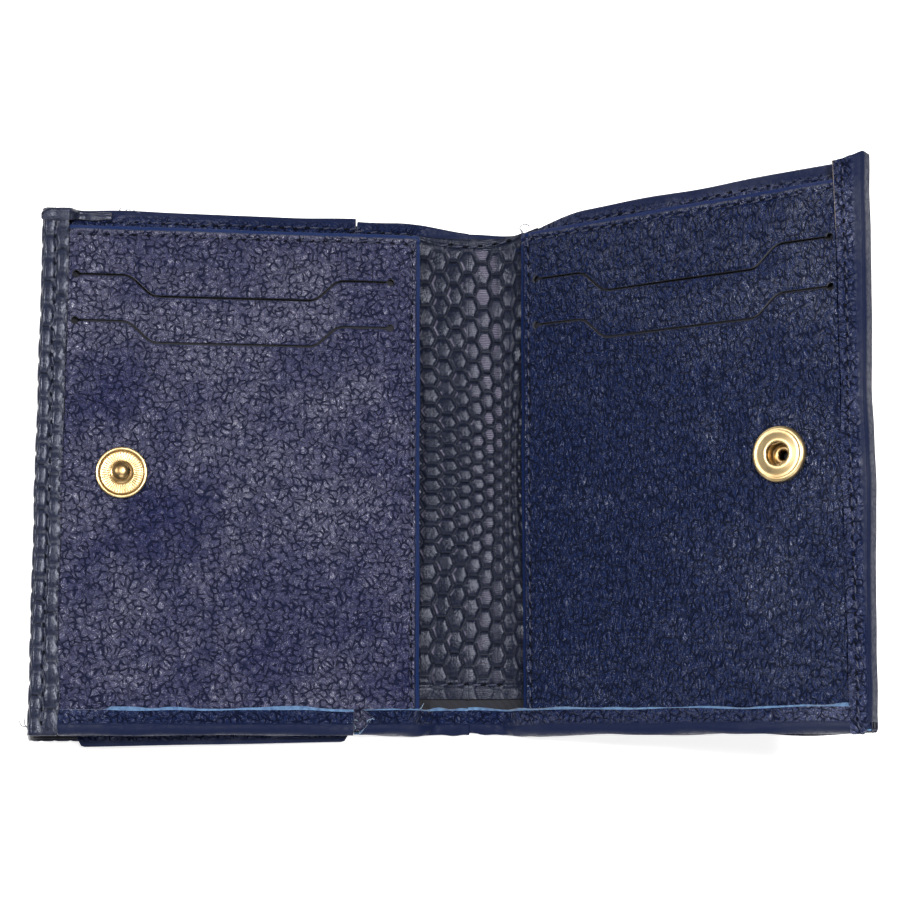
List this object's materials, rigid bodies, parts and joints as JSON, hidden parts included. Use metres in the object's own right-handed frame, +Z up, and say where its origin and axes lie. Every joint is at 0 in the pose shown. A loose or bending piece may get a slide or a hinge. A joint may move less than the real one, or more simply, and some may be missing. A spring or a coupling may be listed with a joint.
{
  "type": "folding wallet",
  "caption": "Small leather wallet that folds at both sides of a wide spine, with die-cut card slots, a press stud closure and a flapped coin pocket.",
  "frame": {"origin": "centre of the spine's underside, on the table that the open wallet lies on", "axes": "+X across the open wallet from the stud's panel to the socket's panel, +Y along the folds to the open top of the bill compartment, +Z up from the table"},
  "size_m": [0.1787, 0.1196, 0.0514],
  "materials": {
    "pebbled": "pebbled, semi-gloss",
    "shell": "pebbled, satin",
    "embossed": "embossed scales, satin",
    "lining": "woven, matt",
    "gilt": "polished",
    "steel": "drawn wire"
  },
  "bodies": {
    "spine": {"spine_shell": "shell", "spine_strip": "embossed"},
    "left_panel": {"left_shell": "shell", "coin_pocket_back": "shell", "left_inner_wall": "lining", "left_upper_pocket": "lining", "left_lower_pocket": "lining", "left_card_panel": "pebbled", "edge_strip": "embossed", "snap_stud": "gilt", "stud_post": "gilt", "coin_pocket_front": "shell", "coin_gusset_top": "lining", "coin_gusset_bottom": "lining", "coin_snap_stud": "gilt", "coin_stud_post": "gilt"},
    "right_panel": {"right_shell": "shell", "right_inner_wall": "lining", "right_upper_pocket": "lining", "right_lower_pocket": "lining", "right_card_panel": "pebbled", "snap_socket": "gilt", "socket_post": "gilt", "socket_spring": "steel"},
    "coin_flap": {"coin_flap": "embossed", "coin_flap_lining": "lining", "coin_snap_socket": "gilt", "coin_socket_spring": "steel", "coin_snap_cap": "gilt"}
  },
  "joints": [
    {"name": "left_fold", "type": "hinge", "parent": "spine", "child": "left_panel", "pos_m": [-0.0095, 0, 0.0006], "axis": [0, 1, 0], "range_deg": [-17.3, 86.1]},
    {"name": "right_fold", "type": "hinge", "parent": "spine", "child": "right_panel", "pos_m": [0.0095, 0, 0.0006], "axis": [0, -1, 0], "range_deg": [-43, 60.3]},
    {"name": "coin_flap_fold", "type": "hinge", "parent": "left_panel", "child": "coin_flap", "pos_m": [-0.0957, 0, 0.01], "axis": [0, 1, 0], "range_deg": [0, 140]}
  ]
}
